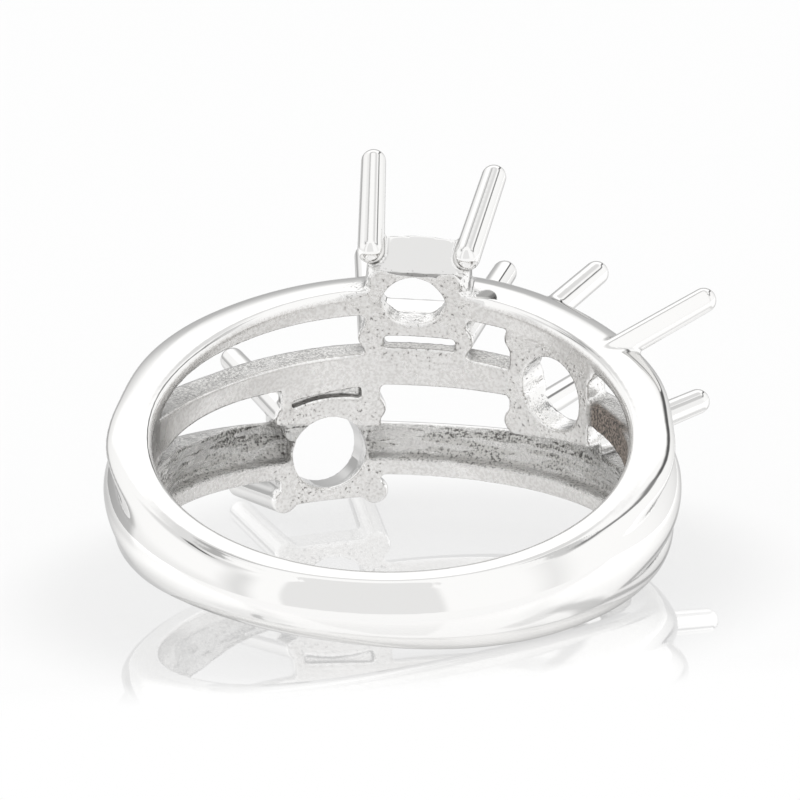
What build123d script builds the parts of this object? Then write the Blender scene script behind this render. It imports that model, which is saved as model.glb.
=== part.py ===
from build123d import *
import os
from math import atan2, cos, degrees, pi, radians, sin, sqrt

# Semi mount ring setting in millimetres: one cast and soldered piece of polished silver.
# It is drawn in the ring's own frame and then laid down the way it rests on a table.
# Ring frame: Z is the finger axis, +Y the top with the three heads, +X the right side.
# A turn is measured in degrees about Z, from the top (+Y) toward the right (+X).

# Finger hole and band
finger_radius = 8.65
crown_thickness = 1.78
palm_edge_thickness = 0.98
strand_edge_thickness = 1.45
strand_crest_thicknesses = (1.55, 1.25, 1.85)
half_width_top = 3.80
half_width_side = 2.29
half_width_palm = 1.15
band_turn = 5.0
rim_round = 0.24

# The palm's lower edge hangs down past the middle, most of all toward the right
palm_drop = 0.65
palm_drop_turn = 150.0
palm_drop_reach = 80.0

# Outer edge of the upper strand: how far it stands proud all the way round the top, and the shoulder
# that it makes to the right of the upper head
upper_rise = 0.36
upper_rise_fade_turns = (92.0, 125.0)
upper_shoulder = 0.50
shoulder_start_turns = (-10.0, 15.0)
shoulder_end_turns = (15.0, 60.0)

# Ridges that carry the three strands on down the sides of the shank
strand_groove_depth = 1.05
shank_groove_depth = 0.48
strand_blend_turns = (45.0, 82.0)
groove_fade_turns = (82.0, 128.0)

# Windows between the strands: middle heights at the top, widths at the top and at their ends
upper_window_height = 2.02
upper_window_width = 1.59
upper_window_end_height = 1.70
upper_window_end_turn = 81.0
lower_window_height = -1.17
lower_window_width = 2.16
lower_window_end_height = -0.10
lower_window_end_turn = 83.0
window_tip_width = 0.22

# Hollowed inner face of the lower strand, above its smooth lip
lip_width = 0.66
channel_depth = 0.62
channel_end_turn = 76.0

# Heads: collar around the hole, bridge plate and four long prongs
hole_radius = 1.41
collar_half = 1.93
collar_corner = 0.55
collar_wall = 0.38
plate_half = 1.90
plate_thickness = 0.62
plate_sink = 0.35
prong_root_offset = 1.64
prong_root_radius = 0.55
prong_tip_radius = 0.47
web_thickness = 0.46

# Slots between a head and the strand beside it
slot_length = 2.55
slot_width = 0.46

# A row for each head: turn and height where its axis meets the finger hole, tilt of the axis out of
# the ring's plane, collar height, share of the hole and the base that is left across the band,
# prong length, slot height, and the heights that its plate reaches down and up to
HEADS = {
    "upper": dict(turn=6.0, height=3.35, tilt=13.0, collar=1.70, squeeze=0.66, prongs=5.3,
                  slot=1.60, low=1.00, high=3.20),
    "lower": dict(turn=-15.2, height=-2.73, tilt=-14.0, collar=1.90, squeeze=1.0, prongs=5.0,
                  slot=-0.48, low=-2.70, high=0.10),
    "right": dict(turn=43.1, height=0.74, tilt=5.0, collar=0.90, squeeze=1.0, prongs=5.1,
                  slot=None, low=-1.45, high=2.95),
}

# Where each prong's tip stands beside its head's axis: along the band, then across it
PRONG_TIPS = {
    "upper": [(-2.10, 2.35), (2.38, 1.90), (2.71, -2.62), (-2.45, -2.18)],
    "lower": [(-2.30, 2.80), (2.30, 2.20), (2.30, -2.00), (-2.30, -2.00)],
    "right": [(-2.30, 2.04), (3.10, 2.75), (2.53, -1.75), (-2.30, -2.10)],
}

# Turns of the cross sections that the band is lofted through, from the middle of each half
TOP_SECTION_TURNS = [0, 22, 44, 62, 76, 90, 104]
PALM_SECTION_TURNS = [0, 25, 50, 70, 90, 104]
WINDOW_SHARES = [-1.0, -0.92, -0.75, -0.5, -0.2, 0.2, 0.5, 0.75, 0.92, 1.0]


def ring_point(radius, turn, height):
    return Vector(radius * sin(radians(turn)), radius * cos(radians(turn)), height)


def half_width(turn):
    swing = (half_width_top - half_width_palm) / 2
    lift = ((half_width_top + half_width_palm) / 2 - half_width_side) / 2
    middle = half_width_side + lift
    way = radians(turn - band_turn)
    return middle + swing * cos(way) + lift * cos(2 * way)


def drop(turn):
    # how far the band's lower edge hangs below its own mirror image
    aside = abs((turn - palm_drop_turn + 180) % 360 - 180)
    return palm_drop * cos(radians(90 * min(aside / palm_drop_reach, 1))) ** 2


def lower_edge(turn):
    return -half_width(turn) - drop(turn)


def ease(value, start, end):
    share = min(max((value - start) / (end - start), 0.0), 1.0)
    return share * share * (3 - 2 * share)


def folded(turn):
    # angle from the band's top, 0 to 180
    way = (turn - band_turn) % 360
    return min(way, 360 - way)


def groove_heights(turn):
    # heights of the two valleys between the three ridges
    way = folded(turn)
    half = half_width(turn)
    on_side = ease(way, 60, 105)
    upper = upper_window_height + (upper_window_end_height - upper_window_height) * ease(way, 0, 82)
    lower = lower_window_height + (lower_window_end_height - lower_window_height) * ease(way, 0, 82)
    return upper + (0.50 * half - upper) * on_side, lower + (-0.45 * half - lower) * on_side


def edge_rise(turn):
    beside_head = ease(turn, *shoulder_start_turns) * (1 - ease(turn, *shoulder_end_turns))
    return upper_rise * (1 - ease(folded(turn), *upper_rise_fade_turns)) + upper_shoulder * beside_head


def band_section(turn):
    # the section is drawn about its own middle height
    half = half_width(turn) + drop(turn) / 2
    centre = -drop(turn) / 2
    way = folded(turn)
    on_shank = ease(way, *strand_blend_turns)
    edge = strand_edge_thickness + (palm_edge_thickness - strand_edge_thickness) * on_shank
    depth = strand_groove_depth + (shank_groove_depth - strand_groove_depth) * on_shank
    depth *= 1 - ease(way, *groove_fade_turns)
    rise = edge_rise(turn)

    def dome(height):
        return edge + (crown_thickness - edge) * (1 - ((height - centre) / half) ** 2)

    def outer(height, thickness=None):
        return ring_point(finger_radius + (thickness or dome(height)), turn, height)

    start = half - rim_round
    lower, upper = groove_heights(turn)[::-1]
    heights = [centre - start, lower, upper, centre + start]
    thicknesses = [dome(centre - start), dome(lower) - depth, dome(upper) - depth,
                   dome(centre + start) + rise]
    crest_rises = (0, 0, 0.67 * rise)
    ridges = []
    for k, crest in enumerate(strand_crest_thicknesses):
        middle = (heights[k] + heights[k + 1]) / 2
        crest += (dome(middle) - crest) * on_shank + crest_rises[k]
        first = outer(heights[k], thicknesses[k])
        last = outer(heights[k + 1], thicknesses[k + 1])
        ridges.append(ThreePointArc(first, outer(middle, crest), last))

    inner = finger_radius - rim_round
    turned = rim_round * (1 - sqrt(0.5))
    corners = []
    walls = []
    for sign, proud in ((-1, 0), (1, rise)):
        face = centre + sign * half
        side = ring_point(finger_radius + edge + proud - rim_round, turn, face)
        thickness = dome(centre + start) + proud
        on_corner = ring_point(finger_radius + thickness - turned, turn, face - sign * turned)
        corners.append(ThreePointArc(side, on_corner, outer(centre + sign * start, thickness)))
        walls.append(Line(ring_point(inner, turn, face), side))
    bottom = ring_point(inner, turn, centre - half)
    top = ring_point(inner, turn, centre + half)
    return make_face(Wire([walls[0], corners[0], *ridges, corners[1], walls[1], Line(top, bottom)]))


def half_band(middle_turn, section_turns):
    # one half of the band, lofted past its ends and cut off square at the sides
    turns = [-t for t in reversed(section_turns[1:])] + section_turns
    solid = loft([band_section(middle_turn + t) for t in turns])
    reach = 2 * (finger_radius + crown_thickness)
    keep = Box(2 * reach, reach, 2 * reach, align=(Align.CENTER, Align.MIN, Align.CENTER))
    return solid & (Rot(0, 0, -middle_turn) * keep)


def curved_cutter(turns, section):
    # lofted through four-cornered sections, each given as (radius, height) corners
    faces = []
    for turn in turns:
        corners = [ring_point(radius, turn, height) for radius, height in section(turn)]
        faces.append(make_face(Polyline(*corners, close=True)))
    return loft(faces)


def window_cutter(height, width, end_height, end_turn, power):
    inner = finger_radius - 1.0
    outer = finger_radius + crown_thickness + 1.0

    def section(turn):
        share = abs(turn - band_turn) / end_turn
        middle = height + (end_height - height) * ease(share, 0, 1)
        open_width = window_tip_width + (width - window_tip_width) * (1 - share**power)
        low, high = middle - open_width / 2, middle + open_width / 2
        return [(inner, low), (outer, low), (outer, high), (inner, high)]

    return curved_cutter([band_turn + s * end_turn for s in WINDOW_SHARES], section)


def channel_cutter():
    def section(turn):
        way = folded(turn)
        step = lower_edge(turn) + lip_width
        share = way / lower_window_end_turn
        middle = lower_window_height + (lower_window_end_height - lower_window_height) * ease(share, 0, 1)
        open_width = window_tip_width + (lower_window_width - window_tip_width) * (1 - share**2)
        top = middle - open_width / 2 + 0.10
        sink = channel_depth * (1 - ease(way, 0.8 * channel_end_turn, 1.05 * channel_end_turn))
        inner = finger_radius - 0.8
        low = (finger_radius + sink, step + 0.10)
        high = (finger_radius + 0.35 * sink, top)
        return [(inner, step), (finger_radius, step), low, high, (inner, top)]

    return curved_cutter([band_turn + s * channel_end_turn for s in WINDOW_SHARES], section)


def head_plane(head):
    turn = radians(head["turn"])
    tilt = radians(head["tilt"])
    axis = Vector(sin(turn) * cos(tilt), cos(turn) * cos(tilt), sin(tilt))
    along = Vector(cos(turn), -sin(turn), 0)
    return Plane(origin=ring_point(finger_radius, head["turn"], head["height"]), x_dir=along, z_dir=axis)


def across(plane):
    # +1 where the plane's own Y runs up the ring, -1 where it runs down
    return 1 if plane.y_dir.Z > 0 else -1


def prong_end(head, tip):
    plane = head_plane(head)
    return plane.from_local_coords(Vector(tip[0], tip[1] * across(plane), head["prongs"]))


def prong_start(head, tip):
    # the root stands on the same side of the axis as the tip
    plane = head_plane(head)
    along = prong_root_offset if tip[0] > 0 else -prong_root_offset
    beside = base_offset(head) if tip[1] > 0 else -base_offset(head)
    return plane.from_local_coords(Vector(along, beside * across(plane), -plate_sink))


def base_offset(head):
    # the roots of a squeezed head stand closer together across the band
    return prong_root_offset - hole_radius * (1 - head["squeeze"]) / 2


def prong(head, tip):
    start = prong_start(head, tip)
    end = prong_end(head, tip)
    way = end - start
    post = Solid.make_cone(
        prong_root_radius, prong_tip_radius, way.length, Plane(origin=start, z_dir=way)
    )
    return post + Pos(end) * Sphere(prong_tip_radius)


def collar(head):
    # walls that lean out from the base, which is squeezed across the band, to the gallery's edge
    plane = head_plane(head)
    base_across = collar_half if head["squeeze"] == 1 else hole_radius * head["squeeze"] + collar_wall
    top_across = max(base_across, 0.9 * collar_half)
    base = RectangleRounded(2 * collar_half, 2 * base_across, collar_corner)
    top = RectangleRounded(2 * collar_half, 2 * top_across, collar_corner)
    return plane * loft([Pos(0, 0, -plate_sink) * base, Pos(0, 0, head["collar"]) * top], ruled=True)


def bridge_plate(head):
    # curved plate on the finger hole's wall, between the strands beside the head
    flat = ring_point(0, 0, (head["low"] + head["high"]) / 2)
    depth = plate_thickness + plate_sink
    slab = Box(2 * plate_half, 2 * finger_radius, head["high"] - head["low"],
               align=(Align.CENTER, Align.MIN, Align.CENTER))
    shell = Cylinder(finger_radius + plate_thickness, 4 * half_width_top)
    shell -= Cylinder(finger_radius + plate_thickness - depth, 4 * half_width_top)
    return (Rot(0, 0, -head["turn"]) * (Pos(flat) * slab)) & shell


def slot_cutter(head):
    way = Plane(
        origin=ring_point(finger_radius - 1, head["turn"], head["slot"]),
        x_dir=ring_point(1, head["turn"] + 90, 0),
        z_dir=ring_point(1, head["turn"], 0),
    )
    return way * extrude(SlotOverall(slot_length, slot_width), 1.6 + plate_thickness)


def hole_cutter(head):
    plane = head_plane(head)
    reach = head["collar"] + 1
    if head["squeeze"] == 1:
        return Solid.make_cylinder(hole_radius, reach + 1, plane.offset(-1))
    # two round cuts set apart across the band leave a lens in a thin web
    shift = hole_radius * (1 - head["squeeze"])
    cuts = []
    for side in (-shift, shift):
        origin = plane.from_local_coords(Vector(0, side, -1))
        cuts.append(Solid.make_cylinder(hole_radius, reach + 1, Plane(origin=origin, z_dir=plane.z_dir)))
    lens = cuts[0] & cuts[1]
    floor = RectangleRounded(2 * hole_radius, 2 * hole_radius * head["squeeze"], 0.5 * collar_corner)
    roof_across = 2 * (0.9 * collar_half - collar_wall)
    roof = RectangleRounded(2 * hole_radius, roof_across, 0.5 * collar_corner)
    cup = loft([Pos(0, 0, web_thickness) * floor, Pos(0, 0, reach) * roof], ruled=True)
    return lens + plane * cup


def ring():
    band = half_band(band_turn, TOP_SECTION_TURNS) + half_band(band_turn + 180, PALM_SECTION_TURNS)
    band -= window_cutter(upper_window_height, upper_window_width, upper_window_end_height,
                          upper_window_end_turn, 4)
    band -= window_cutter(lower_window_height, lower_window_width, lower_window_end_height,
                          lower_window_end_turn, 2)
    band -= channel_cutter()
    body = band
    for name, head in HEADS.items():
        body += collar(head)
        body += bridge_plate(head)
        for tip in PRONG_TIPS[name]:
            body += prong(head, tip)
    for head in HEADS.values():
        body -= hole_cutter(head)
        if head["slot"] is not None:
            body -= slot_cutter(head)
    return body - Cylinder(finger_radius, 6 * half_width_top)


def rest_plane():
    # the ring lies on the palm's lower edge and on the two low prong tips of the lower head
    tips = [prong_end(HEADS["lower"], tip) for tip in PRONG_TIPS["lower"] if tip[1] < 0]
    line = (tips[1] - tips[0]).normalized()

    def down(angle):
        flat = Vector(0, 0, -1) - line * Vector(0, 0, -1).dot(line)
        flat = flat.normalized()
        side = flat.cross(line)
        return flat * cos(radians(angle)) + side * sin(radians(angle))

    def rim_lead(angle):
        # how far the palm's lower edge reaches below the tips along this way down
        way = down(angle)
        radius = finger_radius + palm_edge_thickness - rim_round
        rim = [way.dot(ring_point(radius, t, lower_edge(t))) for t in range(120, 241)]
        return max(rim) - way.dot(tips[0]) - prong_tip_radius

    sign = 1 if rim_lead(20) > rim_lead(-20) else -1
    low, high = 0.0, 40.0
    for _ in range(50):
        middle = (low + high) / 2
        if rim_lead(sign * middle) < 0:
            low = middle
        else:
            high = middle
    return down(sign * low)


def laid_down(solid):
    way = rest_plane()
    # turn the way down onto -Z about the level line that is square to both
    pivot = way.cross(Vector(0, 0, -1))
    angle = degrees(atan2(pivot.length, way.dot(Vector(0, 0, -1))))
    lying = solid.rotate(Axis(origin=(0, 0, 0), direction=pivot), angle)
    box = lying.bounding_box()
    middle = box.center()
    return Pos(-middle.X, -middle.Y, -box.min.Z) * lying


if __name__ == "__main__":
    os.makedirs("parts", exist_ok=True)
    setting = laid_down(ring())
    export_step(setting, "parts/ring_setting.step")
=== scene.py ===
import math
import bmesh
import bpy
import numpy as np
import openvdb
from mathutils import Matrix, Quaternion, Vector


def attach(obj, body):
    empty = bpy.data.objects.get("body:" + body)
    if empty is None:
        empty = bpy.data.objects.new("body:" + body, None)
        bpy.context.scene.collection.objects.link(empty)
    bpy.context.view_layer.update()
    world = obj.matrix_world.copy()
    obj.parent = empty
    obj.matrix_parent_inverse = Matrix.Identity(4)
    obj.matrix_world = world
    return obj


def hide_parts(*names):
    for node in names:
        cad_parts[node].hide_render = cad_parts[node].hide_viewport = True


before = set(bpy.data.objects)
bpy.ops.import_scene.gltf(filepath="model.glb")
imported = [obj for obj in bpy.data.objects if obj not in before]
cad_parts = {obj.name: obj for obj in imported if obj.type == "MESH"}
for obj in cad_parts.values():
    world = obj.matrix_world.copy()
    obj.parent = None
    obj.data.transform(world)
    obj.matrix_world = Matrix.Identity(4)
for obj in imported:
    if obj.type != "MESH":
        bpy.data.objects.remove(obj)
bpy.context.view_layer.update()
print("frame loaded")

# The ring is worked out in millimetres in its own frame: Z is the finger axis, +Y has the heads and
# +X is the right side. A turn is in degrees about Z, from the heads towards the right. Its shape is a
# distance field, less than zero inside the metal, and it is laid on the floor as it rests once cast.
millimetre = 0.001                       # in metres


def ease(value, start, end):             # 0 up to start, 1 from end on, smooth in the middle
    share = np.clip((value - start) / (end - start), 0, 1)
    return share * share * (3 - 2 * share)


def during(value, start, end):           # 1 between the two stretches that start and end give
    return ease(value, *start) * (1 - ease(value, *end))


def mixed(first, second, share):
    return first + (second - first) * share


def meet(a, b, k):                       # both at once, its edge rounded by k
    return np.minimum(np.maximum(a, b), -k) + np.hypot(np.maximum(a + k, 0), np.maximum(b + k, 0))


def join(a, b, k):                       # either one, with a fillet of radius k between them
    return -meet(-a, -b, k)


def cut(a, b, k):
    return meet(a, -b, k)


# Windows between the strands. Each is a middle height that moves from the top of the ring to the
# window's end, and a width there that closes with the given power.
windows = {
    "upper": {"height": 2.02, "width": 1.59, "endHeight": 1.70, "endTurn": 81, "power": 4},
    "lower": {"height": -1.17, "width": 2.16, "endHeight": -0.10, "endTurn": 83, "power": 2}}
windowFacts = {"round": 0.13,            # of the rims
               "past": 1.15}             # how far past its end a width is followed, as a share


def windowMiddle(w, way):
    return mixed(w["height"], w["endHeight"], ease(way / w["endTurn"], 0, 1))


def windowField(z, way, w):
    share = np.minimum(way / w["endTurn"], windowFacts["past"])
    opening = w["width"] * (1 - share ** w["power"])
    return np.abs(z - windowMiddle(w, way)) - opening / 2


band = {
    "finger": 8.65, "crown": 1.78, "palmEdge": 0.98, "strandEdge": 1.45, "crests": (1.55, 1.25, 1.85),
    "halfTop": 3.80, "halfSide": 2.29, "halfPalm": 1.15, "turn": 5.0,
    "rim": 0.24, "innerRim": 0.09,
    # the inner rim is rounder at the upper edge, apart from the stretch behind the upper head
    "topRim": 0.34, "topRimHeight": (-0.8, -0.5), "topRimBeside": (1.7, 2.6),
    # grooves: their depths, where strands become shank and where they fade out, their heights on the
    # shank as shares of the half width, and where they swing there from the windows' line
    "strandGroove": 1.05, "shankGroove": 0.48, "blend": (45, 82), "fade": (82, 128),
    "grooveShares": {"upper": 0.50, "lower": -0.45}, "grooveEnd": 82, "grooveSwing": (60, 105),
    "ridgePast": 0.35,                   # how far past its edges a ridge's curve is followed, as a share
    "drop": 0.65, "dropTurn": 150, "dropReach": 80,
    # the upper strand stands proud, its face leans back and it has a shoulder right of the upper head
    "rise": 0.36, "riseFade": (92, 125), "riseSlope": 0.16, "riseShare": (0.10, 0.75),
    "shoulder": 0.50, "shoulderFrom": (-10, 15), "shoulderTo": (15, 60),
    # the band swells a little low on the right side and, over all its width, on the left
    "swell": 0.16, "swellRight": ((35, 75), (105, 140)), "swellLeft": ((95, 120), (150, 175))}


def halfWidth(turn):
    swing = (band["halfTop"] - band["halfPalm"]) / 2
    lift = ((band["halfTop"] + band["halfPalm"]) / 2 - band["halfSide"]) / 2
    way = np.radians(turn - band["turn"])
    return band["halfSide"] + lift + swing * np.cos(way) + lift * np.cos(2 * way)


def dropped(turn):                       # how far the lower edge hangs below the upper edge's mirror image
    aside = np.abs((turn - band["dropTurn"] + 180) % 360 - 180)
    return band["drop"] * np.cos(np.radians(90 * np.minimum(aside / band["dropReach"], 1))) ** 2


def folded(turn):                        # degrees away from the band's widest place, to either side
    way = (turn - band["turn"]) % 360
    return np.minimum(way, 360 - way)


def grooves(way, half):
    onSide = ease(way, *band["grooveSwing"])
    heights = []
    for name, share in band["grooveShares"].items():
        w = windows[name]
        top = mixed(w["height"], w["endHeight"], ease(way, 0, band["grooveEnd"]))
        heights.append(mixed(top, share * half, onSide))
    return heights


def ridgeCurve(s, first, crest, last):   # a parabola through both edges and the crest, and its slope
    thick = (1 - s) * (1 - 2 * s) * first + 4 * s * (1 - s) * crest + s * (2 * s - 1) * last
    steep = (4 * s - 3) * first + (4 - 8 * s) * crest + (4 * s - 1) * last
    return thick, steep


def bandField(r, turn, z):
    way = folded(turn)
    drop = dropped(turn)
    half = halfWidth(turn) + drop / 2
    onShank = ease(way, *band["blend"])
    edge = mixed(band["strandEdge"], band["palmEdge"], onShank)
    depth = mixed(band["strandGroove"], band["shankGroove"], onShank) * (1 - ease(way, *band["fade"]))

    def dome(h):
        return edge + (band["crown"] - edge) * (1 - ((h + drop / 2) / half) ** 2)

    start = half - band["rim"]
    upper, lower = grooves(way, half)
    heights = [-start - drop / 2, lower, upper, start - drop / 2]
    edges = [dome(heights[0]), dome(lower) - depth, dome(upper) - depth, dome(heights[3])]
    thick = np.zeros_like(r)
    slope = np.zeros_like(r)
    past = band["ridgePast"]
    for k, crest in enumerate(band["crests"]):
        crest = mixed(crest, dome((heights[k] + heights[k + 1]) / 2), onShank)
        span = heights[k + 1] - heights[k]
        s = (z - heights[k]) / span
        here = (s >= 0 if k > 0 else True) & (s < 1 if k < 2 else True)
        curve, steep = ridgeCurve(np.clip(s, -past, 1 + past), edges[k], crest, edges[k + 1])
        thick = np.where(here, curve, thick)
        slope = np.where(here, steep / span, slope)
    proud = 1 - ease(way, *band["riseFade"])
    rise = band["rise"] * proud + band["shoulder"] * during(turn, band["shoulderFrom"], band["shoulderTo"])
    onUpper = ease(z, *[upper + share * (heights[3] - upper) for share in band["riseShare"]])
    onRight = during(turn, *band["swellRight"]) * (1 - onUpper)
    onLeft = during(-turn, *band["swellLeft"])
    thick = thick + rise * onUpper + band["swell"] * np.maximum(onRight, onLeft)
    outside = (r - band["finger"] - thick) / np.sqrt(1 + slope * slope)
    lean = band["riseSlope"] * np.maximum(r - band["finger"] - edge, 0) * (z > 0) * proud
    return meet(outside, np.abs(z + drop / 2) - half + lean, band["rim"])


# The hollow in the lower strand's inner face, from its lip up to the window. It is that much deeper at
# the window, as a share, but towards the sides of the ring it is deeper at the lip instead.
channel = {"lip": 0.66, "depth": 0.62, "endTurn": 76, "fade": (0.80, 1.05),
           "deeper": 1.0, "turnsBy": 1.65, "turnsOver": (35, 62),
           "over": 0.10, "leastWidth": 0.3, "end": 0.3,
           "stepRound": 0.12, "endRound": 0.05, "keptRound": 0.08, "rimRound": 0.12, "inset": 0.02,
           # what stands in it: the wall round the lower head's hole, and the foot of its plate
           "collar": 0.13, "foot": {"low": -2.04, "half": 1.75, "reach": 1.2, "corner": 0.3, "round": 0.15}}


def channelField(r, turn, z):
    way = folded(turn)
    w = windows["lower"]
    step = -halfWidth(turn) - dropped(turn) + channel["lip"]
    opening = w["width"] * (1 - np.minimum(way / w["endTurn"], 1) ** w["power"])
    top = windowMiddle(w, way) - opening / 2 + channel["over"]
    sink = channel["depth"] * (1 - ease(way, *[share * channel["endTurn"] for share in channel["fade"]]))
    share = np.clip((z - step) / np.maximum(top - step, channel["leastWidth"]), 0, 1)
    deeper = channel["deeper"] - channel["turnsBy"] * ease(way, *channel["turnsOver"])
    floorR = band["finger"] + sink * (1 + share * deeper)
    hollow = meet(r - floorR, step - z, channel["stepRound"])
    return meet(hollow, z - top - channel["end"], channel["endRound"]) + channel["inset"]


# What the three heads share. A head's own directions are a along the band, b across it and c outward,
# from the point where its axis meets the finger hole.
headParts = {
    "hole": 1.41, "half": 1.93, "corner": 0.55, "wall": 0.38, "web": 0.46, "sink": 0.35,
    "plateHalf": 1.90, "plate": 0.62, "plateCorner": 0.25,
    "root": 1.64, "rootRadius": 0.52, "tipRadius": 0.47,
    "slotHalf": 1.32, "slotCorner": 0.14,
    "through": 1.0,                      # how far inside the finger hole a hole starts
    "nowhere": 9.0,                      # the field on the ring's far side, where a head isn't
    "rounds": {"wall": 0.10, "plate": 0.15, "toPlate": 0.15, "toBand": 0.20, "toProng": 0.11, "sharp": 0.05}}

# The upper head is squeezed across the band. It stands on a narrow ledge and flares out behind it, and
# its hole is a lens at the finger hole that widens outward into a cup.
squeezedParts = {
    "ledge": 0.28, "ledgeHalf": 1.70, "ledgeUp": 1.26, "ledgeShift": 0.05, "ledgeCorner": 0.35,
    "ledgeRound": 0.09, "ledgeFillet": 0.04, "bury": 0.15,
    "groove": 0.24, "topShare": 0.97, "flare": (-0.2, 1.1), "bulge": 0.12, "bulgeHalf": 1.3,
    "lens": {"radius": 1.25, "shift": 0.12, "apart": 0.33},
    "cup": {"share": 0.9, "past": 1.0, "corner": 0.27, "round": 0.10, "fillet": 0.03}}

# A slot's lower and upper edges are curves along the band: a height, a slope and a bend.
heads = {
    "upper": {"turn": 6.0, "height": 3.35, "tilt": 13.0, "collar": 1.70, "squeeze": 0.66, "prongs": 5.3,
              "slot": {"shift": 0.13, "low": (1.45, 0.0, 0.0), "high": (1.93, 0.0, 0.0), "deep": 3.0},
              "low": 1.00, "high": 3.20, "feet": (0.95, -0.35),
              "tips": ((-2.10, 2.35), (2.38, 1.90), (2.71, -2.62), (-2.45, -2.18))},
    "lower": {"turn": -15.2, "height": -2.73, "tilt": -14.0, "collar": 1.90, "squeeze": 1.0, "prongs": 5.0,
              "slot": {"shift": -0.13, "low": (-0.47, 0.04, -0.10), "high": (-0.27, 0.10, 0.0),
                       "deep": 0.32},
              "low": -2.70, "high": 0.10, "feet": (-0.35, 0.50),
              "tips": ((-2.30, 2.80), (2.30, 2.20), (2.30, -2.00), (-2.30, -2.00))},
    "right": {"turn": 43.1, "height": 0.74, "tilt": 5.0, "collar": 0.90, "squeeze": 1.0, "prongs": 5.1,
              "slot": None,
              "low": -1.45, "high": 2.95, "feet": (-0.35, -0.35),
              "tips": ((-2.30, 2.04), (3.10, 2.75), (2.53, -1.75), (-2.30, -2.10))}}


def headFrame(head):
    t, v = math.radians(head["turn"]), math.radians(head["tilt"])
    axis = np.array([math.sin(t) * math.cos(v), math.cos(t) * math.cos(v), math.sin(v)])
    along = np.array([math.cos(t), -math.sin(t), 0])
    over = np.array([-math.sin(v) * math.sin(t), -math.sin(v) * math.cos(t), math.cos(v)])
    origin = np.array([band["finger"] * math.sin(t), band["finger"] * math.cos(t), head["height"]])
    return origin, along, over, axis


def local(head, x, y, z):
    origin, along, over, axis = headFrame(head)
    dx, dy, dz = x - origin[0], y - origin[1], z - origin[2]
    return [dx * v[0] + dy * v[1] + dz * v[2] for v in (along, over, axis)]


def roundedBox(a, b, halfA, halfB, corner):
    qa, qb = np.abs(a) - halfA + corner, np.abs(b) - halfB + corner
    return np.hypot(np.maximum(qa, 0), np.maximum(qb, 0)) + np.minimum(np.maximum(qa, qb), 0) - corner


def prongField(a, b, c, start, end, startRadius, endRadius):
    way = np.array(end) - np.array(start)
    length = np.linalg.norm(way)
    way = way / length
    pa, pb, pc = a - start[0], b - start[1], c - start[2]
    t = np.clip((pa * way[0] + pb * way[1] + pc * way[2]) / length, 0, 1)
    gap = np.sqrt(sum((p - w * t * length) ** 2 for p, w in zip((pa, pb, pc), way)))
    return gap - (startRadius + (endRadius - startRadius) * t)


def slotField(head, a, z, r):
    slot = head["slot"]
    s = a - slot["shift"]
    low, high = [k0 + k1 * s + k2 * s * s for k0, k1, k2 in (slot["low"], slot["high"])]
    outline = roundedBox(s, z - (low + high) / 2, headParts["slotHalf"], (high - low) / 2,
                         headParts["slotCorner"])
    return meet(outline, r - band["finger"] - slot["deep"], headParts["rounds"]["sharp"])


def plainWall(head, a, b, c):
    p = headParts
    wall = meet(roundedBox(a, b, p["half"], p["half"], p["corner"]), c - head["collar"], p["rounds"]["wall"])
    return meet(wall, -p["sink"] - c, p["rounds"]["wall"])


def squeezedWall(head, a, b, c):
    p, q = headParts, squeezedParts
    share = np.clip((c - q["ledge"]) / (head["collar"] - q["ledge"]), *q["flare"])
    foot = q["ledgeUp"] - q["groove"]
    across = foot + (q["topShare"] * p["half"] - foot) * share
    across = across - q["bulge"] * np.minimum((a / q["bulgeHalf"]) ** 2, 1) * share
    wall = meet(roundedBox(a, b, p["half"], across, p["corner"]), c - head["collar"], p["rounds"]["wall"])
    wall = meet(wall, q["ledge"] - q["bury"] - c, p["rounds"]["sharp"])
    ledge = roundedBox(a + q["ledgeShift"], b, q["ledgeHalf"], q["ledgeUp"], q["ledgeCorner"])
    ledge = meet(meet(ledge, c - q["ledge"], q["ledgeRound"]), -p["sink"] - c, p["rounds"]["wall"])
    return join(wall, ledge, q["ledgeFillet"])


def plainHole(a, b, c):
    return meet(np.hypot(a, b) - headParts["hole"], -headParts["through"] - c, headParts["rounds"]["sharp"])


def squeezedHole(head, a, b, c):
    p, lens, cup = headParts, squeezedParts["lens"], squeezedParts["cup"]
    inside = np.hypot(a + lens["shift"], np.abs(b) + lens["apart"]) - lens["radius"]
    inside = meet(inside, -p["through"] - c, p["rounds"]["sharp"])
    narrow = p["hole"] * head["squeeze"]
    wide = cup["share"] * p["half"] - p["wall"]
    share = np.clip((c - p["web"]) / (head["collar"] + cup["past"] - p["web"]), 0, 1)
    outside = roundedBox(a, b, p["hole"], narrow + (wide - narrow) * share, cup["corner"])
    return join(inside, meet(outside, p["web"] - c, cup["round"]), cup["fillet"])


def withProngs(made, head, a, b, c):
    p = headParts
    offset = p["root"] - p["hole"] * (1 - head["squeeze"]) / 2
    for tipA, tipB in head["tips"]:
        foot = head["feet"][0 if tipB > 0 else 1]
        root = (np.sign(tipA) * p["root"], np.sign(tipB) * offset, -p["sink"])
        tip = (tipA, tipB, head["prongs"])
        share = (foot + p["sink"]) / (head["prongs"] + p["sink"])
        start = tuple(root[i] + (tip[i] - root[i]) * share for i in range(3))
        radius = p["rootRadius"] + (p["tipRadius"] - p["rootRadius"]) * share
        prong = prongField(a, b, c, start, tip, radius, p["tipRadius"])
        made = join(made, prong, p["rounds"]["toProng"])
    return made


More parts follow.
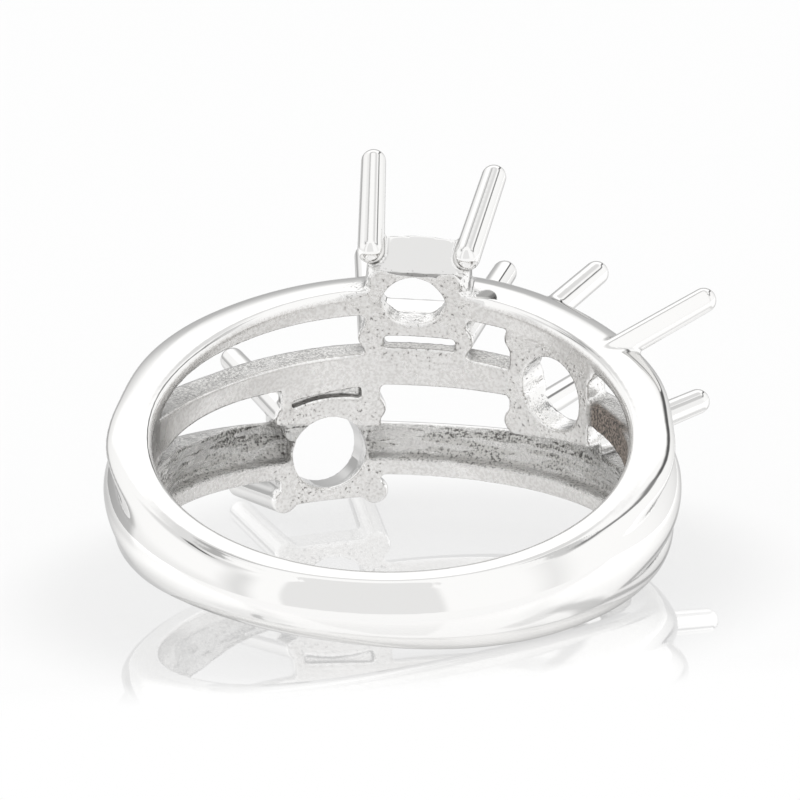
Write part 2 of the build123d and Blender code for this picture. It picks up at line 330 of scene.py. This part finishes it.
def headField(head, body, x, y, z, r):
    p = headParts
    a, b, c = local(head, x, y, z)
    squeezed = head["squeeze"] < 1
    wall = squeezedWall(head, a, b, c) if squeezed else plainWall(head, a, b, c)
    hole = squeezedHole(head, a, b, c) if squeezed else plainHole(a, b, c)
    t = math.radians(head["turn"])
    tangent = x * math.cos(t) - y * math.sin(t)
    ahead = y * math.cos(t) + x * math.sin(t) > 0
    middle, reach = (head["low"] + head["high"]) / 2, (head["high"] - head["low"]) / 2
    plate = roundedBox(tangent, z - middle, p["plateHalf"], reach, p["plateCorner"])
    plate = meet(plate, r - band["finger"] - p["plate"], p["rounds"]["plate"])
    plate = meet(plate, band["finger"] - p["sink"] - r, p["rounds"]["sharp"])
    plate = np.where(ahead, plate, p["nowhere"])
    made = join(body, join(wall, plate, p["rounds"]["toPlate"]), p["rounds"]["toBand"])
    made = withProngs(made, head, a, b, c)
    made = cut(made, hole, p["rounds"]["sharp"])
    if head["slot"] is not None:
        slot = np.where(ahead, slotField(head, tangent, z, r), p["nowhere"])
        made = cut(made, slot, p["rounds"]["sharp"])
    return made


def channelCut(x, y, z, r, turn):        # the hollow less what stands in it
    a, b, _ = local(heads["lower"], x, y, z)
    foot = channel["foot"]
    collar = np.hypot(a, b) - headParts["hole"] - channel["collar"]
    plate = roundedBox(a, z - foot["low"] - foot["reach"], foot["half"], foot["reach"], foot["corner"])
    kept = join(collar, plate, foot["round"])
    return meet(channelField(r, turn, z), -kept, channel["keptRound"])


def field(x, y, z):
    r = np.hypot(x, y)
    turn = np.degrees(np.arctan2(x, y))
    way = folded(turn)
    body = bandField(r, turn, z)
    for w in windows.values():
        body = cut(body, windowField(z, way, w), windowFacts["round"])
    for head in heads.values():
        body = headField(head, body, x, y, z, r)
    body = cut(body, channelCut(x, y, z, r, turn), channel["rimRound"])
    beside = ease(np.abs(local(heads["upper"], x, y, z)[0]), *band["topRimBeside"])
    nearTop = ease(z, *[halfWidth(turn) + rise for rise in band["topRimHeight"]])
    rim = band["innerRim"] + (band["topRim"] - band["innerRim"]) * nearTop * np.where(y > 0, beside, 1.0)
    return meet(body, band["finger"] - r, rim)


def slopeOf(points, reach=0.004):
    out = np.zeros_like(points)
    for k in range(3):
        step = np.zeros(3)
        step[k] = reach
        ahead, behind = points + step, points - step
        out[:, k] = (field(*ahead.T) - field(*behind.T)) / (2 * reach)
    return out


# cell is the mesh's grid, and low and high are the corners that it spans. The field is first read on a
# grid that is coarse times as wide, and then finely only near the surface.
casting = {"cell": 0.084, "low": (-11.2, -11.0, -7.2), "high": (12.8, 15.8, 8.2), "coarse": 4, "near": 2.2,
           "kept": 3, "parts": 8, "evenOut": 0.6, "longestMove": 0.5, "leastSlope": 0.05}


def settle(points, rounds):              # draws points onto the surface
    for _ in range(rounds):
        gap = field(*points.T)
        way = slopeOf(points)
        move = gap[:, None] * way / np.maximum((way * way).sum(1), casting["leastSlope"])[:, None]
        size = np.maximum(np.linalg.norm(move, axis=1), 1e-9)
        points = points - move * np.minimum(1, casting["longestMove"] * casting["cell"] / size)[:, None]
    return points


def relaxed(points, edges):              # evens out the spacing
    first, second = edges.T
    count = np.bincount(edges.ravel(), minlength=len(points))[:, None]
    total = np.zeros_like(points)
    for k in range(3):
        total[:, k] = np.bincount(first, points[second, k], len(points)) + \
            np.bincount(second, points[first, k], len(points))
    share = casting["evenOut"]
    return (1 - share) * points + share * total / np.maximum(count, 1)


def castMesh():
    cell, coarse = casting["cell"], casting["coarse"]
    low, high = np.array(casting["low"]), np.array(casting["high"])
    count = np.ceil((high - low) / (cell * coarse)).astype(int) + 1
    axes = [low[k] + cell * coarse * np.arange(count[k]) for k in range(3)]
    spots = [v.ravel() for v in np.meshgrid(*axes, indexing="ij")]
    rough = field(*spots).reshape(count)
    near = np.abs(rough) < casting["near"] * cell * coarse
    fine, mask = [v.repeat(coarse, 0).repeat(coarse, 1).repeat(coarse, 2) for v in (rough, near)]
    spots = low + np.argwhere(mask) * cell
    fine[mask] = np.concatenate([field(*part.T) for part in np.array_split(spots, casting["parts"])])
    kept = casting["kept"] * cell
    grid = openvdb.FloatGrid(kept)
    grid.copyFromArray(np.clip(fine, -kept, kept).astype(np.float32))
    points, _, quads = grid.convertToPolygons(isovalue=0.0)
    points, quads = low + points.astype(float) * cell, quads.astype(np.int64)
    sides = quads[:, [[0, 1], [1, 2], [2, 3], [3, 0]]].reshape(-1, 2)
    edges = np.unique(np.sort(sides, axis=1), axis=0)
    points = settle(relaxed(settle(points, 1), edges), 1)
    points = settle(relaxed(points, edges), 2)
    return points, quads


# Large odd numbers that scatter the values at the corners of a noise's cells
scatter = {"axes": (73856093, 19349663, 83492791), "seed": 2654435761, "mix": 1274126177}


def heldNoise(points, size, seed):       # soft lumps of about the given size, from -1 to 1
    place = points / size
    cellOf = np.floor(place).astype(np.int64)
    share = place - cellOf
    share = share * share * (3 - 2 * share)
    total = np.zeros(len(points))
    for corner in range(8):
        step = np.array([corner & 1, (corner >> 1) & 1, corner >> 2])
        key = ((cellOf + step) * np.array(scatter["axes"])).sum(1) + seed * scatter["seed"]
        key = (key ^ (key >> 13)) * scatter["mix"] & 0xFFFFFFFF
        value = (key ^ (key >> 16)) % 65536 / 32768 - 1
        total += value * np.where(step, share, 1 - share).prod(1)
    return total


# Where each finish lies. Pairs are stretches over which a mark comes or goes: in millimetres from the
# finger hole, from the edge that the name gives or along a head's axis, or else in degrees.
finish = {
    "satin": {"facing": (0.75, 0.95), "reach": (0.03, 0.08)},
    "hollow": {"edge": (0.02, 0.10), "deep": (1.1, 1.5), "ends": (80, 95)},
    "walls": {"edge": (0.05, 0.16), "deep": (0.9, 1.3), "start": (0.05, 0.15), "ends": (80, 95), "cast": 0.5},
    "slots": {"edge": (0.03, 0.08), "start": (0.05, 0.12), "share": 0.6},
    # where the painted brown shade lies on the middle strand's face
    "brownShade": {"turns": ((54, 59), (82, 92)), "deep": (0.2, 0.5), "edge": 0.4, "clear": (1.9, 2.2)},
    "plates": {"around": (2.0, 3.0), "start": (-1.0, -0.6), "deep": (0.5, 0.9), "rim": (-1.05, -0.8),
               "rimTurn": 20, "ledgeSide": (1.0, 1.2), "ledgeStart": (0.05, 0.15)},
    "bores": {"edge": (0.05, 0.12), "start": 0.15},
    # the painted dark line of shade between the upper head's panel and its ledge
    "creaseShade": {"above": 0.04, "edge": (0.04, 0.11), "across": ((0.9, 1.0), (1.30, 1.40)),
               "along": (1.7, 1.9)},
    "hidden": (0.15, 0.35, 0.7)}         # the reaches at which nearby metal counts for the painted shade in corners


def windowWalls(z, r, way):
    facts = finish["walls"]
    walls = np.zeros(len(z))
    for w in windows.values():
        beside = 1 - ease(np.abs(windowField(z, way, w)), *facts["edge"])
        walls = np.maximum(walls, beside * (1 - ease(r - band["finger"], *facts["deep"])))
    return walls * (1 - ease(way, *facts["ends"])) * ease(r - band["finger"], *facts["start"])


def brownShadeOf(z, r, turn, way):          # painted brown shade on the middle strand's face, right of the right head, over a real rough cast finish
    facts = finish["brownShade"]
    low, high = windowMiddle(windows["lower"], way), windowMiddle(windows["upper"], way)
    between = during(z, (low, low + facts["edge"]), (high - facts["edge"], high))
    return between * during(turn, *facts["turns"]) * (1 - ease(r - band["finger"], *facts["deep"]))


def creaseShadeOf(a, b, c):                    # painted shade: a dark line between the upper head's panel and its ledge
    facts = finish["creaseShade"]
    near = 1 - ease(np.abs(c - squeezedParts["ledge"] - facts["above"]), *facts["edge"])
    return near * during(b, *facts["across"]) * (1 - ease(np.abs(a), *facts["along"]))


def finishOf(points, normals):
    x, y, z = points.T
    r, turn = np.hypot(x, y), np.degrees(np.arctan2(x, y))
    way = folded(turn)
    deep = r - band["finger"]
    inward = -(normals[:, 0] * x + normals[:, 1] * y) / r
    satin = ease(inward, *finish["satin"]["facing"]) * (1 - ease(np.abs(deep), *finish["satin"]["reach"]))
    facts = finish["hollow"]
    hollow = 1 - ease(channelField(r, turn, z), *facts["edge"])
    hollow = hollow * (1 - ease(deep, *facts["deep"])) * (1 - ease(way, *facts["ends"]))
    walls = windowWalls(z, r, way)
    brownShade = brownShadeOf(z, r, turn, way)
    plates = np.zeros(len(points))
    plateFacts, boreFacts, slotFacts = finish["plates"], finish["bores"], finish["slots"]
    for head in heads.values():
        a, b, c = local(head, x, y, z)
        out = np.hypot(a, b)
        near = (1 - ease(out, *plateFacts["around"])) * during(c, plateFacts["start"], plateFacts["deep"])
        if head["squeeze"] < 1:
            ledge = ease(np.abs(b), *plateFacts["ledgeSide"]) * ease(c, *plateFacts["ledgeStart"])
            near = near * (1 - ledge)
        plates = np.maximum(plates, near)
        bore = (1 - ease(np.abs(out - headParts["hole"]), *boreFacts["edge"])) * (c > boreFacts["start"])
        hollow = hollow * (1 - bore)
        walls = walls * (1 - bore)
        brownShade = brownShade * ease(out, *finish["brownShade"]["clear"])
        if head["slot"] is not None:
            sides = 1 - ease(np.abs(slotField(head, a, z, r)), *slotFacts["edge"])
            sides = sides * ease(deep, *slotFacts["start"]) * (y > 0)
            walls = np.maximum(walls, slotFacts["share"] * sides)
    rim = ease(z, *[halfWidth(turn) + rise for rise in plateFacts["rim"]])
    plates = plates * (1 - rim * (turn > plateFacts["rimTurn"]))
    cast = np.clip(np.maximum(np.maximum(hollow, brownShade), finish["walls"]["cast"] * walls), 0, 1)
    bent = np.stack([r * np.radians(turn), z + halfWidth(turn) - channel["lip"], r], axis=1)
    return {"satin": satin, "cast": cast, "plates": plates, "brownShade": brownShade, "bent": bent,
            "creaseShade": creaseShadeOf(*local(heads["upper"], x, y, z))}


# painted shade: how much nearby metal closes round a point
def hiddenness(points, normals):
    total = np.zeros(len(points))
    for reach in finish["hidden"]:
        gap = field(*(points + normals * reach).T)
        total += np.clip(1 - gap / reach, 0, 1) / len(finish["hidden"])
    return total


# How the ring lies on the floor: turned by an angle about a line in its own plane, then moved.
lying = {"pivot": (0.9650165, 0.2621892, 0.0), "angle": 11.207534,
         "shift": (-0.8827137, -2.2360580, 3.7781254)}


def laidDown(points):
    turned = Quaternion(Vector(lying["pivot"]), math.radians(lying["angle"])).to_matrix()
    return (points @ np.array(turned).T + np.array(lying["shift"])) * millimetre


# The ring's mesh is too fine for one piece, so it is cut square through plain metal, where no edge
# shows: at this y, and above it at this turn.
cuts = {"side": -1.2, "top": 25.0}


def capped(name, points, quads, planes):
    mesh = bpy.data.meshes.new(name)
    mesh.from_pydata(points.tolist(), [], quads.tolist())
    form = bmesh.new()
    form.from_mesh(mesh)
    for normal in planes:
        everything = form.verts[:] + form.edges[:] + form.faces[:]
        spot = (0, cuts["side"], 0) if normal[0] == 0 else (0, 0, 0)
        opened = bmesh.ops.bisect_plane(form, geom=everything, plane_co=spot, plane_no=normal,
                                        clear_inner=True)
        rim = [e for e in opened["geom_cut"] if isinstance(e, bmesh.types.BMEdge)]
        bmesh.ops.holes_fill(form, edges=rim)
        for edge in rim:
            edge.smooth = False
    for face in form.faces:
        face.smooth = True
    form.to_mesh(mesh)
    form.free()
    return mesh


# Lumps that are really in the metal, in millimetres: a share, a size and a seed for each noise, how
# high they stand on cast faces and plates, how far a cast face is eaten, and all of it a hair inward.
relief = {"noises": ((0.6, 0.42, 3), (0.4, 0.2, 8)), "cast": 0.04, "eaten": 0.01, "plates": 0.006,
          "inward": 0.004}


def dressed(mesh):
    points = np.empty(3 * len(mesh.vertices))
    mesh.vertices.foreach_get("co", points)
    points = points.reshape(-1, 3)
    normals = slopeOf(points)
    normals = normals / np.maximum(np.linalg.norm(normals, axis=1), 1e-6)[:, None]
    marks = finishOf(points, normals)
    # painted shade of hidden corners, and the painted dark line by the upper head's ledge
    marks["hidden"] = np.maximum(hiddenness(points, normals), marks.pop("creaseShade"))
    lumps = sum(share * heldNoise(points, size, seed) for share, size, seed in relief["noises"])
    cast, plates = marks["cast"], marks["plates"]
    out = cast * (lumps * relief["cast"] - relief["eaten"]) + plates * (1 - cast) * relief["plates"] * lumps
    points = points + normals * (out - relief["inward"])[:, None]
    mesh.vertices.foreach_set("co", laidDown(points).ravel())
    mesh.update()
    for label, values in marks.items():
        kind, slot = ("FLOAT", "value") if values.ndim == 1 else ("FLOAT_VECTOR", "vector")
        mesh.attributes.new(label, kind, "POINT").data.foreach_set(slot, values.astype(np.float32).ravel())
    piece = bpy.data.objects.new(mesh.name, mesh)
    bpy.context.collection.objects.link(piece)
    return piece


castPoints, castQuads = castMesh()
print("ring cast:", len(castQuads), "faces")
across = (math.cos(math.radians(cuts["top"])), -math.sin(math.radians(cuts["top"])), 0)
planesOf = {"palmShank": [(0, -1, 0)],
            "leftStrands": [(0, 1, 0), tuple(-v for v in across)],
            "rightStrands": [(0, 1, 0), across]}
pieces = {name: dressed(capped(name, castPoints, castQuads, planes)) for name, planes in planesOf.items()}
for name, piece in pieces.items():
    print(name, "triangles:", sum(len(face.vertices) - 2 for face in piece.data.polygons))


class Signal:                            # one shader socket that takes part in sums
    def __init__(self, tree, socket):
        self.tree = tree
        self.socket = socket

    def make(self, kind, settings=None, values=None, out=0):
        node = self.tree.nodes.new(kind)
        for name, value in (settings or {}).items():
            setattr(node, name, value)
        for name, value in (values or {}).items():
            if isinstance(value, Signal):
                self.tree.links.new(value.socket, node.inputs[name])
            else:
                node.inputs[name].default_value = value
        return Signal(self.tree, node.outputs[out])

    def sum(self, operation, *terms):
        if all(t.socket.type == "VALUE" for t in terms if isinstance(t, Signal)):
            return self.make("ShaderNodeMath", {"operation": operation}, dict(enumerate(terms)))
        filled = [(t, t, t) if isinstance(t, (int, float)) else t for t in terms]
        return self.make("ShaderNodeVectorMath", {"operation": operation}, dict(enumerate(filled)))

    def __add__(self, other):
        return self.sum("ADD", self, other)

    def __radd__(self, other):
        return self.sum("ADD", other, self)

    def __sub__(self, other):
        return self.sum("SUBTRACT", self, other)

    def __rsub__(self, other):
        return self.sum("SUBTRACT", other, self)

    def __mul__(self, other):
        return self.sum("MULTIPLY", self, other)

    def __rmul__(self, other):
        return self.sum("MULTIPLY", other, self)

    def __pow__(self, other):
        return self.sum("POWER", self, other)

    def __rpow__(self, other):
        return self.sum("POWER", other, self)

    def __neg__(self):
        return self.sum("MULTIPLY", self, -1.0)

    def vector(self, *parts):
        return self.make("ShaderNodeCombineXYZ", None, dict(enumerate(parts)))

    def parts(self):
        split = self.make("ShaderNodeSeparateXYZ", None, {0: self})
        return [Signal(self.tree, split.socket.node.outputs[k]) for k in range(3)]

    def noise(self, **values):           # a noise texture at self as the place
        return self.make("ShaderNodeTexNoise", None, {"Vector": self, **values})

    def between(self, low, high):        # 0 below low, 1 above high, smooth in the middle
        return self.make("ShaderNodeMapRange", {"interpolation_type": "SMOOTHSTEP"},
                         {"Value": self, "From Min": low, "From Max": high})

    def blend(self, first, second):      # self is the share of the second colour
        return self.make("ShaderNodeMix", {"data_type": "RGBA"}, {0: self, 6: first, 7: second}, 2)


def newMaterial(name, **constants):
    material = bpy.data.materials.new(name)
    material.use_nodes = True
    shader = material.node_tree.nodes["Principled BSDF"]
    for socket, value in constants.items():
        shader.inputs[socket.replace("_", " ")].default_value = value
    return material, shader, Signal(material.node_tree, None)


silverFacts = {
    # the finger hole is satin, the channel and the windows' sides are rough cast metal; deep is the
    # colour of pits and of the painted shade in crevices, and edge tints what is seen at a grazing angle
    "polished": (0.95, 0.945, 0.935, 1), "satin": (0.745, 0.732, 0.716, 1), "cast": (0.87, 0.86, 0.84, 1),
    # the brown colour below is painted shade on the middle strand's face, right of the right head
    "deep": (0.13, 0.125, 0.12, 1), "brownShade": (0.50, 0.43, 0.38, 1), "edge": (0.62, 0.62, 0.62, 1),
    "polishedRough": 0.04, "satinRough": 0.26, "castRough": 0.40,
    # noises, their scales in lumps per millimetre; a band is where a noise turns from none to all
    "grain": {"Scale": 9.0, "Detail": 2.0}, "satinLeast": 0.45, "satinBand": (0.40, 0.62),
    "pitBand": (0.66, 0.70), "pitShare": 0.7,
    "cloud": {"Scale": 0.9, "Detail": 2.0}, "cloudBand": (0.4, 0.7), "cloudRough": 0.08,
    "crumbs": {"Scale": 10.0, "Detail": 4.0, "Roughness": 0.7}, "crumbBand": (0.34, 0.52),
    # heights over the lip at which the crumbs of the channel get darker with painted shade under its
    # overhanging top, and by how much
    "upperBand": (0.35, 0.95), "upperShade": 0.07,
    # bright streaks along the channel: how their place is stretched along, across and outward
    "stretch": (0.7, 5.0, 1.5), "drawn": {"Scale": 1.0, "Detail": 3.0}, "streakBand": (0.47, 0.54),
    "streakShare": 0.75, "streakShine": 0.16,
    # corners that nearby metal hides from the light, and how dark they get, less so on cast faces
    "hiddenBand": (0.40, 0.95), "hiddenDark": 0.7, "hiddenCast": 0.35,
    # heights of the fine relief, in millimetres
    "satinRelief": 0.006, "pitRelief": -0.03, "wornRelief": 0.022, "castRelief": 0.07}


def silverFinish():
    facts = silverFacts
    material, shader, start = newMaterial("castSilver", Metallic=1.0, Specular_Tint=facts["edge"])
    place = start.make("ShaderNodeTexCoord", out="Object") * (1 / millimetre)
    satin, cast, plates, hidden, brownShade = [
        start.make("ShaderNodeAttribute", {"attribute_name": name}, out="Fac")
        for name in ("satin", "cast", "plates", "hidden", "brownShade")]
    grain, cloud, crumbs = [place.noise(**facts[name]) for name in ("grain", "cloud", "crumbs")]
    bent = start.make("ShaderNodeAttribute", {"attribute_name": "bent"}, out="Vector")
    drawn = (bent * start.vector(*facts["stretch"])).noise(**facts["drawn"])
    streaks = drawn.between(*facts["streakBand"]) * cast * (1 - brownShade)
    # painted shade: the channel's overhanging top is darker
    upper = bent.parts()[1].between(*facts["upperBand"]) * facts["upperShade"]
    pits = grain.between(*facts["pitBand"])
    worn = plates * (1 - cast)

    least = facts["satinLeast"]
    brushed = satin * (least + grain.between(*facts["satinBand"]) * (1 - least))
    colour = brushed.blend(facts["polished"], facts["satin"])
    # painted brown shade darkens the rough face of the middle strand, right of the right head
    clean = brownShade.blend(facts["cast"], facts["brownShade"])
    rawMetal = (crumbs - upper).between(*facts["crumbBand"]).blend(facts["deep"], clean)
    rawMetal = (streaks * facts["streakShare"]).blend(rawMetal, facts["polished"])
    colour = cast.blend(colour, rawMetal)
    colour = (pits * worn * facts["pitShare"]).blend(colour, facts["deep"])
    # painted shade: corners that nearby metal hides from the light are darkened towards deep
    shaded = hidden.between(*facts["hiddenBand"]) * (facts["hiddenDark"] - facts["hiddenCast"] * cast)
    colour = shaded.blend(colour, facts["deep"])

    rough = facts["polishedRough"] + satin * (facts["satinRough"] - facts["polishedRough"])
    rough = rough + cast * (facts["castRough"] - facts["polishedRough"]) - streaks * facts["streakShine"]
    rough = rough + cloud.between(*facts["cloudBand"]) * satin * facts["cloudRough"]
    height = grain * satin * facts["satinRelief"] + pits * worn * facts["pitRelief"]
    height = height + grain * worn * facts["wornRelief"] + crumbs * cast * facts["castRelief"]
    bump = start.make("ShaderNodeBump", None, {"Height": height, "Distance": millimetre, "Strength": 1.0})
    for name, signal in (("Base Color", colour), ("Roughness", rough), ("Normal", bump)):
        start.tree.links.new(signal.socket, shader.inputs[name])
    return material


silver = silverFinish()
for piece in pieces.values():
    piece.data.materials.append(silver)
    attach(piece, "root")
    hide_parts("ring_setting")
print("silver finished")

# reach is half the floor's side in metres. The other places are in millimetres: the ring's middle on
# the floor, how far from it the shade ends, and how far in front of the origin the mirror ends.
floorFacts = {"reach": 0.5, "colour": (0.35, 0.35, 0.35, 1), "glow": 0.49, "rough": 0.02, "IOR": 5.0,
              "middle": (-0.9, -2.2), "near": (11.0, 16.0), "nearGlow": (0.82, 0.82, 0.82, 1),
              "front": (12.6, 16.0)}
white = (1, 1, 1, 1)


def whiteFloor():                        # mirror-like round the ring, and plain white in front of it
    facts = floorFacts
    material, shader, start = newMaterial("whiteFloor", Base_Color=facts["colour"], Roughness=facts["rough"],
                                          IOR=facts["IOR"], Emission_Strength=facts["glow"])
    x, y, _ = (start.make("ShaderNodeTexCoord", out="Object") * (1 / millimetre)).parts()
    away = ((x - facts["middle"][0]) ** 2 + (y - facts["middle"][1]) ** 2) ** 0.5
    glow = away.between(*facts["near"]).blend(facts["nearGlow"], white)
    start.tree.links.new(glow.socket, shader.inputs["Emission Color"])
    plain = start.make("ShaderNodeEmission", None, {"Color": white, "Strength": 1.0})
    mirror = Signal(start.tree, shader.outputs[0])
    both = start.make("ShaderNodeMixShader", None, {0: (-y).between(*facts["front"]), 1: mirror, 2: plain})
    start.tree.links.new(both.socket, start.tree.nodes["Material Output"].inputs["Surface"])
    return material


def layFloor():
    reach = floorFacts["reach"]
    mesh = bpy.data.meshes.new("floor")
    corners = [(-reach, -reach, 0), (reach, -reach, 0), (reach, reach, 0), (-reach, reach, 0)]
    mesh.from_pydata(corners, [], [(0, 1, 2, 3)])
    mesh.materials.append(whiteFloor())
    floor = bpy.data.objects.new("floor", mesh)
    bpy.context.collection.objects.link(floor)


layFloor()
print("floor laid")

# Cards round the ring in degrees: where each is centred (0 at the camera, 90 at the right), how far it
# reaches to either side, from what rise to what rise, how soft its edge is and how bright it is. Lines
# are narrow strips between two such places, with half their width.
studioFacts = {
    "room": 1.02,
    "lineEdge": (0.4, 1.6),              # where a line's sides fade, as shares of its half width
    "lineEnds": (-3.0, 8.0),             # where its ends fade
    "cards": (
        {"at": 180, "wide": 80, "low": 58.4, "high": 71.4, "soft": 4, "level": 0.76},
        {"at": -92, "wide": 30, "low": 45, "high": 63, "soft": 6, "level": 0.76},
        {"at": -95, "wide": 32, "low": -90, "high": 12, "soft": 9, "level": 0.90},
        {"at": -140, "wide": 22, "low": -90, "high": 11.8, "soft": 5, "level": 0.54},
        {"at": 180, "wide": 21, "low": -90, "high": 26.4, "soft": 7, "level": 0.72},
        {"at": 180, "wide": 36, "low": 31.4, "high": 54.4, "soft": 4, "level": 1.20},
        {"at": 81, "wide": 11, "low": 34.2, "high": 62.2, "soft": 4, "level": 0.64},
        {"at": 65, "wide": 5, "low": -90, "high": 42.6, "soft": 8, "level": 0.86},
        {"at": -57, "wide": 6, "low": -90, "high": 46.8, "soft": 7, "level": 0.78},
        {"at": -6, "wide": 28, "low": -90, "high": 75.5, "soft": 2, "level": 0.835}),
    "lines": (
        {"from": (158, 18.5), "to": (128, 46), "half": 3.6, "level": 0.12},
        {"from": (128, 46), "to": (84, 42), "half": 4.0, "level": 0.25},
        {"from": (-82, 54), "to": (-104, 59), "half": 2.0, "level": 0.10},
        {"from": (-100, 66.5), "to": (-168, 67.5), "half": 2.0, "level": 0.45})}


def cardShare(card, turn, rise):
    soft = card["soft"]
    aside = turn.sum("ABSOLUTE", turn.sum("WRAP", turn - card["at"], 180.0, -180.0))
    share = 1 - aside.between(card["wide"] - soft, card["wide"] + soft)
    share = share * rise.between(card["low"] - soft, card["low"] + soft)
    return share * (1 - rise.between(card["high"] - soft, card["high"] + soft))


def lineShare(line, turn, rise):
    (fromTurn, fromRise), (toTurn, toRise) = line["from"], line["to"]
    length = math.hypot(toTurn - fromTurn, toRise - fromRise)
    alongTurn, alongRise = (toTurn - fromTurn) / length, (toRise - fromRise) / length
    along = (turn - fromTurn) * alongTurn + (rise - fromRise) * alongRise
    beyond = turn.sum("ABSOLUTE", along - length / 2) - length / 2
    beside = turn.sum("ABSOLUTE", (turn - fromTurn) * alongRise - (rise - fromRise) * alongTurn)
    edge = [share * line["half"] for share in studioFacts["lineEdge"]]
    return (1 - beside.between(*edge)) * (1 - beyond.between(*studioFacts["lineEnds"]))


def studio():
    world = bpy.data.worlds.new("studio")
    bpy.context.scene.world = world
    world.use_nodes = True
    start = Signal(world.node_tree, None)
    x, y, z = start.make("ShaderNodeTexCoord", out="Generated").parts()
    turn = start.sum("ARCTAN2", x, -y) * (180 / math.pi)
    rise = start.sum("ARCSINE", z) * (180 / math.pi)
    light = studioFacts["room"]
    for card in studioFacts["cards"]:
        light = light + (card["level"] - light) * cardShare(card, turn, rise)
    for line in studioFacts["lines"]:
        light = light + (line["level"] - light) * lineShare(line, turn, rise)
    sky = world.node_tree.nodes["Background"]
    sky.inputs["Color"].default_value = white
    start.tree.links.new(light.socket, sky.inputs["Strength"])


studio()
bpy.context.scene.view_settings.view_transform = "Standard"
print("studio lit")

# The photo's camera: what it aims at and how far off it stands in metres, its turn to the right, its
# rise and its roll in degrees, and its lens and sensor in millimetres.
cameraFacts = {"aim": (-0.000372, -0.002905, 0.007267), "away": 0.4, "turn": 1.078, "rise": 15.325,
               "roll": -2.720, "lens": 497.5, "sensor": 36, "sees": (0.01, 10)}


def photoCamera():
    facts = cameraFacts
    turn, rise = math.radians(facts["turn"]), math.radians(facts["rise"])
    back = Vector((math.sin(turn) * math.cos(rise), -math.cos(turn) * math.cos(rise), math.sin(rise)))
    sideways = Vector((math.cos(turn), math.sin(turn), 0))
    level = Matrix((sideways, back.cross(sideways), back)).transposed()
    basis = level @ Matrix.Rotation(math.radians(facts["roll"]), 3, "Z")
    lens = bpy.data.cameras.new("camera")
    lens.lens = facts["lens"]
    lens.sensor_width = facts["sensor"]
    lens.clip_start, lens.clip_end = facts["sees"]
    camera = bpy.data.objects.new("camera", lens)
    camera.matrix_world = Matrix.Translation(Vector(facts["aim"]) + back * facts["away"]) @ basis.to_4x4()
    bpy.context.collection.objects.link(camera)
    bpy.context.scene.camera = camera


photoCamera()
print("camera placed")
